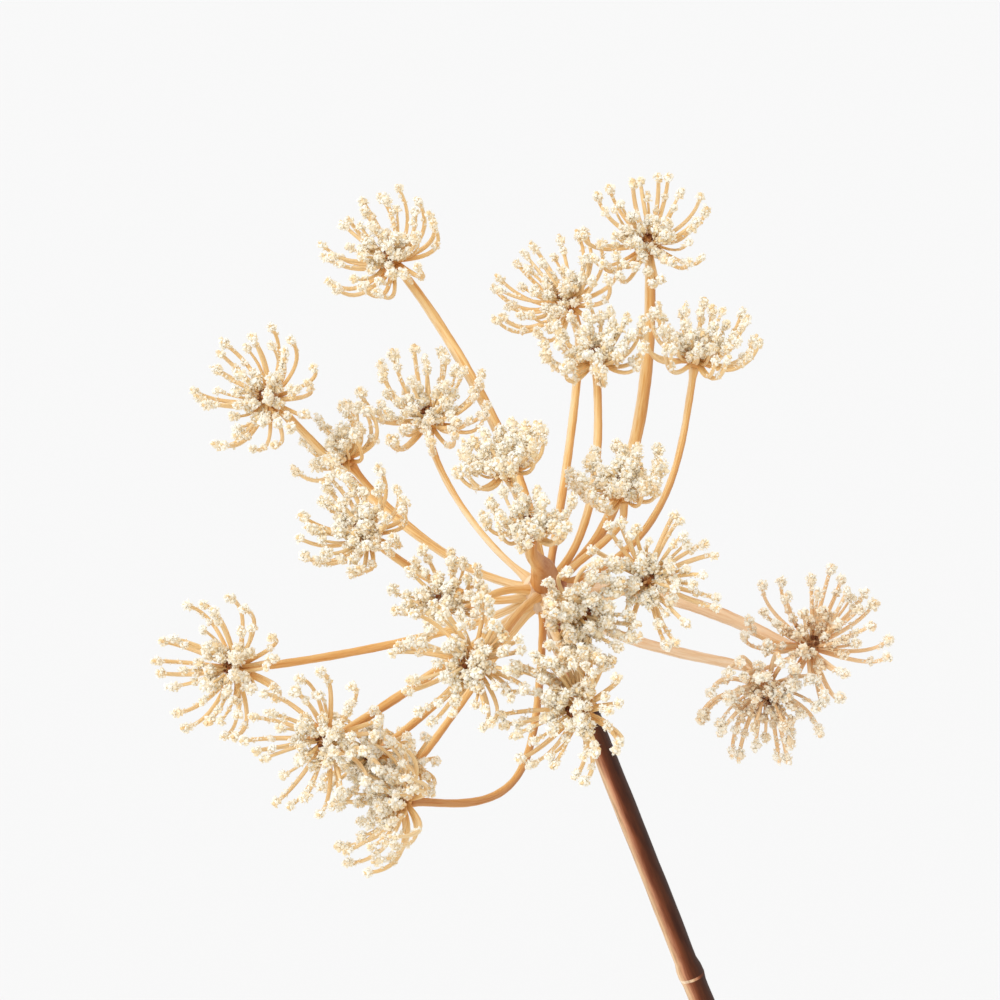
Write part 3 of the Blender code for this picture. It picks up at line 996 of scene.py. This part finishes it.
def set_florets(heads, number, kind, line, scale, chance):
    """The clump at a stalk's end, and the florets along it."""
    in_shade = number in SHADED_RIGHT
    full = FULL.get(number, 1.0)
    end = unit(line[-1] - line[-3])
    # Painted shade: the middle heads of the umbellets on the right are warmer.
    deep = 0.25 if in_shade and kind in ("bud", "inner") else 0.0
    bud = chance.uniform(0.15, 0.55) if chance.random() < 0.3 else 0.0
    if kind in ("long", "mid"):
        r = chance.uniform(0.9, 1.3) * scale * full
        long = r * chance.uniform(1.0, 1.9 - 0.6 * (full - 1.0))
        middle = line[-1] - end * (long - 0.1)
        clump(heads, middle, end, r, long, int(CRUMBS * r), chance, deep, bud)
        if chance.random() < 0.75 * full:
            first = chance.uniform(0.45, 0.75)
            many = int(38 * (1.05 - first))
            sleeve(heads, line, first, 1.0, 0.8, many, chance, 0.05, lean=0.9)
        if chance.random() < 0.4 * full:
            k = int(len(line) * chance.uniform(0.45, 0.7))
            middle = line[k] + upward(0.5)
            clump(heads, middle, end, 0.85 * full, 1.1 * full, 8, chance, 0.05)
    elif kind == "thin":
        r = chance.uniform(0.9, 1.25) * scale * full
        long = r * chance.uniform(1.0, 1.7)
        middle = line[-1] - end * long * 0.8
        clump(heads, middle, end, r, long, int(CRUMBS * r), chance, deep, bud * 0.6)
        if chance.random() < 0.5 * full:
            sleeve(heads, line, 0.55, 0.95, 0.75, 11, chance, 0.05, lean=0.9)
    else:
        r = chance.uniform(1.15, 1.6) * scale * (0.86 if in_shade else 0.4 + 0.6 * full)
        long = r * chance.uniform(1.0, 1.4)
        middle = line[-1] - end * long * 0.7
        clump(heads, middle, end, r, long, int(CRUMBS * r), chance, deep)
        sleeve(heads, line, 0.45, 0.95, 0.8, 7, chance, 0.2 + deep)


def make_umbellet(number, matrix):
    chance = np.random.default_rng(SEED * 100 + number)
    cad = read_pedicels(number, matrix)
    # The radius and height of the basket.
    ring = max(math.hypot(tip[0], tip[1]) for _, _, tip in cad) - CLEAR
    rise = np.median([tip[2] for _, _, tip in cad])
    small = ring < SMALL_RING
    in_shade = number in SHADED_RIGHT
    stalks = Build(4.0)
    heads = Build(1.0)
    heads.window = matrix[:3, :3].T @ WINDOW
    for kind, root, bend, tip in plan_stalks(number, chance, cad, (ring, rise), small, matrix):
        steps, sides, girth, dip, swing = KINDS[kind]
        sway = chance.uniform(-0.7, 0.7) * swing
        line = pedicel_path(root, bend, tip, dip * chance.uniform(0.4, 1.3), sway, steps)
        at = np.linspace(0.0, 1.0, steps)
        girth = girth * (0.92 if small else 1.0) * chance.uniform(0.9, 1.1)
        wide = girth * (1.16 - 0.34 * at + 0.2 * np.exp(-((at / 0.12) ** 2)))
        # Each stalk is dark at its root, deep in the basket: partly its own browner base, partly
        # painted shade.
        tone = 0.05 + 0.75 * np.minimum(1.0, at * 2.4) + chance.uniform(-0.12, 0.15)
        tube(stalks, line, wide, sides, clipped(tone), chance)
        set_florets(heads, number, kind, line, 0.94 if small else 1.0, chance)
    # Brown crumbs at the bottom of the basket, which show between the middle heads.
    many = 26
    spots = on_sphere(chance, many) * 1.5 + upward(4.4)
    tones = chance.uniform(0.84, 1.0, many)
    crumbs(heads, spots, chance.uniform(0.4, 0.6, many), tones, chance, STAR, 0.4)
    # The swollen node that the stalks leave.
    steps = 9
    line, _ = smooth_line([upward(z) for z in (-0.5, 0.6, 1.8, 3.0, 4.0, 4.5)], steps)
    at = np.linspace(0.0, 1.0, steps)
    wide = np.interp(at, [0, 0.25, 0.55, 0.85, 1.0], [1.15, 1.7, 1.9, 1.4, 0.5])
    tube(stalks, line, wide, 12, np.linspace(0.3, 0.0, steps), chance, ribs=5, depth=0.06)
    node = f"umbellet_{number:02d}"
    # Painted shade: the umbellets on the right take the shaded stalks and florets.
    stalk_look = SHADED_STALKS if in_shade else STALKS
    stalks.piece(node + "_stalks", stalk_look, node, matrix)
    # Painted shade: florets crowded deep among the others go warmer.
    heads.paint_crowd_shade(upward(1.0))
    crumb_look = SHADED_FLORETS if in_shade else FLORETS
    heads.piece(node + "_florets", crumb_look, node, matrix, smooth=False)


# Stem with its joint ring and knob.

# Points along the stem and round it, and the levels of its knob's rings, as shares of its
# radius.
STEM_STEPS, STEM_ROUND = 200, 28
KNOB_LEVELS = np.linspace(-0.9, 0.985, 22)
# The neck between stem and knob is eased from this point on.
NECK = 185
# How far from the hub the stem's own colour gives way to the rays'.
HUB_REACH = 16.0


def make_stem():
    chance = np.random.default_rng(SEED)
    below = stem_line[:-KNOB_RINGS]
    body, _ = smooth_line(below, STEM_STEPS)
    run = run_along(below)
    even = np.linspace(0.0, run[-1], STEM_STEPS)
    wide = np.interp(even, run, stem_radii[:-KNOB_RINGS])
    along = unit(stem_line[-1] - stem_line[-KNOB_RINGS])
    knob = [HUB + along * KNOB_RADIUS * level for level in KNOB_LEVELS]
    knob_wide = [KNOB_RADIUS * math.sqrt(1.0 - level * level) for level in KNOB_LEVELS]
    line = np.concatenate([body[:-1], knob])
    wide = np.concatenate([wide[:-1], knob_wide])
    soft = wide.copy()
    for _ in range(3):
        soft[1:-1] = (soft[:-2] + 2.0 * soft[1:-1] + soft[2:]) / 4.0
    wide = np.where(np.arange(len(wide)) > NECK, soft, wide)
    # Painted light on the left, tan, and painted shade on the right, near black, and as pale as
    # the rays at the knob, with painted light on the left there too.
    out = rim(line, STEM_ROUND)
    left = -out[..., 0] * 0.9 - out[..., 1] * 0.25
    tone = clipped((left + 0.9) / 1.8) * 0.89
    near_hub = clipped(1.0 - np.linalg.norm(line - HUB, axis=1) / HUB_REACH)[:, None]
    tone = clipped(tone * (1.0 - near_hub) + near_hub * (0.92 + 0.2 * left))
    # Not quite round: two waves wind along it.
    run = run_along(line)[:, None]
    turns = full_turn(STEM_ROUND)[None]
    waves = 0.012 * np.sin(run * 0.21 + 2.0 * turns)
    shape = 1.0 + waves + 0.008 * np.sin(run * 0.5 + 5.0 * turns)
    build = Build(8.0)
    tube(build, line, wide, STEM_ROUND, tone, chance, ribs=9, depth=0.012, shape=shape, folds=7)
    build.piece("stem_stalk", BARK, "stem")


# Vase: the CAD profile, turned smooth.

# Points along the profile and round the vase.
VASE_STEPS, VASE_ROUND = 150, 112
# How far inside the solid's profile the wall stays, and how deep its throwing rings are.
WALL_IN, THROWING = 0.12, 0.10
# How high the glaze ends above the floor, and over what height it fades.
BARE_FOOT, BARE_EDGE = 4.2, 0.8


def make_vase():
    points, near = welded("vase")
    foot = list(np.nonzero(points[:, 2] < 0.01)[0])
    rows = rings(near, foot, VASE_RINGS, VASE_SIDES)
    profile = np.array(
        [[np.hypot(*points[row][:, :2].T).mean(), 0.0, points[row][:, 2].mean()] for row in rows]
    )
    curve, _ = smooth_line(profile, VASE_STEPS)
    level = np.clip(curve[:, 2], 0.0, profile[:, 2].max())
    outside = np.arange(VASE_STEPS) < np.argmax(level)
    thrown = THROWING * np.sin(level * 1.15) * outside * clipped((level - 8.0) / 20.0)
    wide = (np.minimum(curve[:, 0], profile[:, 0].max()) - WALL_IN + thrown)[:, None]
    level = level[:, None]
    turns = full_turn(VASE_ROUND)
    up = np.repeat(level, VASE_ROUND, 1)
    body = np.stack([wide * np.cos(turns), wide * np.sin(turns), up], -1).reshape(-1, 3)
    wave = 0.5 * np.sin(3.0 * turns)[None] + 0.3 * np.sin(7.0 * turns + 1.0)[None]
    bare = clipped(1.0 - (level - BARE_FOOT + wave) / BARE_EDGE) * outside[:, None]
    build = Build(1.0)
    first = build.put(
        np.concatenate([body, [upward(level[0, 0]), upward(level[-1, 0])]]),
        np.concatenate([bare.ravel(), [1.0, 0.0]]),
    )
    skin(build, first, VASE_STEPS, VASE_ROUND)
    build.piece("vase_body", STONEWARE, "vase")


# Rays, each with its umbellet.
RAY_COUNT = 24

make_camera()
make_vase()
make_stem()
for number in range(1, RAY_COUNT + 1):
    line, radii = read_ray(number)
    make_ray(number, line, radii)
    make_umbellet(number, umbellet_frame(line))


# Floor, backdrop and light.

# The light from all round, and how much more of it comes from the left than from above.
AMBIENT = 1.045
SIDE = 0.28
# The floor's albedo, its radius in metres, and the white that it renders as, for what lies
# past its edge.
FLOOR = 0.775
FLOOR_RADIUS = 24.0
BACKDROP = 0.942
# The lamp's strength, its width in degrees and the way its light goes.
LAMP = 0.9
LAMP_ANGLE = 40.0
LAMP_WAY = (0.5, 0.62, -0.6)


def grey(level):
    return (level, level, level, 1.0)


def make_floor():
    bpy.ops.mesh.primitive_circle_add(
        vertices=96, radius=FLOOR_RADIUS, fill_type="NGON", location=(0, 0, 0)
    )
    floor = bpy.context.object
    floor.name = "floor"
    n = Nodes(bpy.data.materials.new("floor"))
    n.tree.nodes.clear()
    output = n.add("ShaderNodeOutputMaterial")
    matt = n.add("ShaderNodeBsdfDiffuse", {"Color": grey(FLOOR)})
    n.link(matt.outputs["BSDF"], output.inputs["Surface"])
    floor.data.materials.append(n.owner)


def make_world():
    n = Nodes(bpy.data.worlds.new("world"))
    bpy.context.scene.world = n.owner
    n.tree.nodes.clear()
    output = n.add("ShaderNodeOutputWorld")
    # A broad soft window: the left of the room is brighter than the right.
    ambient = n.add("ShaderNodeBackground", {"Color": grey(1.0)})
    place = n.add("ShaderNodeTexCoord")
    split = n.add("ShaderNodeSeparateXYZ")
    n.link(place.outputs["Generated"], split.inputs[0])
    values = {"From Min": -1.0, "To Min": AMBIENT + SIDE, "To Max": AMBIENT - SIDE}
    level = n.add("ShaderNodeMapRange", values)
    n.link(split.outputs["X"], level.inputs["Value"])
    n.link(level.outputs["Result"], ambient.inputs["Strength"])
    # The camera, a mirror or glass sees plain white instead.
    white = n.add("ShaderNodeBackground", {"Color": grey(BACKDROP)})
    path = n.add("ShaderNodeLightPath")
    seen = path.outputs["Is Camera Ray"]
    for other in ("Is Glossy Ray", "Is Transmission Ray"):
        either = n.add("ShaderNodeMath", operation="MAXIMUM")
        n.link(seen, either.inputs[0])
        n.link(path.outputs[other], either.inputs[1])
        seen = either.outputs["Value"]
    mix = n.add("ShaderNodeMixShader")
    n.link(seen, mix.inputs[0])
    n.link(ambient.outputs[0], mix.inputs[1])
    n.link(white.outputs[0], mix.inputs[2])
    n.link(mix.outputs[0], output.inputs["Surface"])


def make_lamp():
    lamp = bpy.data.lights.new("key", "SUN")
    lamp.energy = LAMP
    lamp.angle = math.radians(LAMP_ANGLE)
    made = bpy.data.objects.new("key", lamp)
    made.rotation_euler = Vector(LAMP_WAY).to_track_quat("-Z", "Y").to_euler()
    bpy.context.scene.collection.objects.link(made)


make_floor()
make_world()
make_lamp()
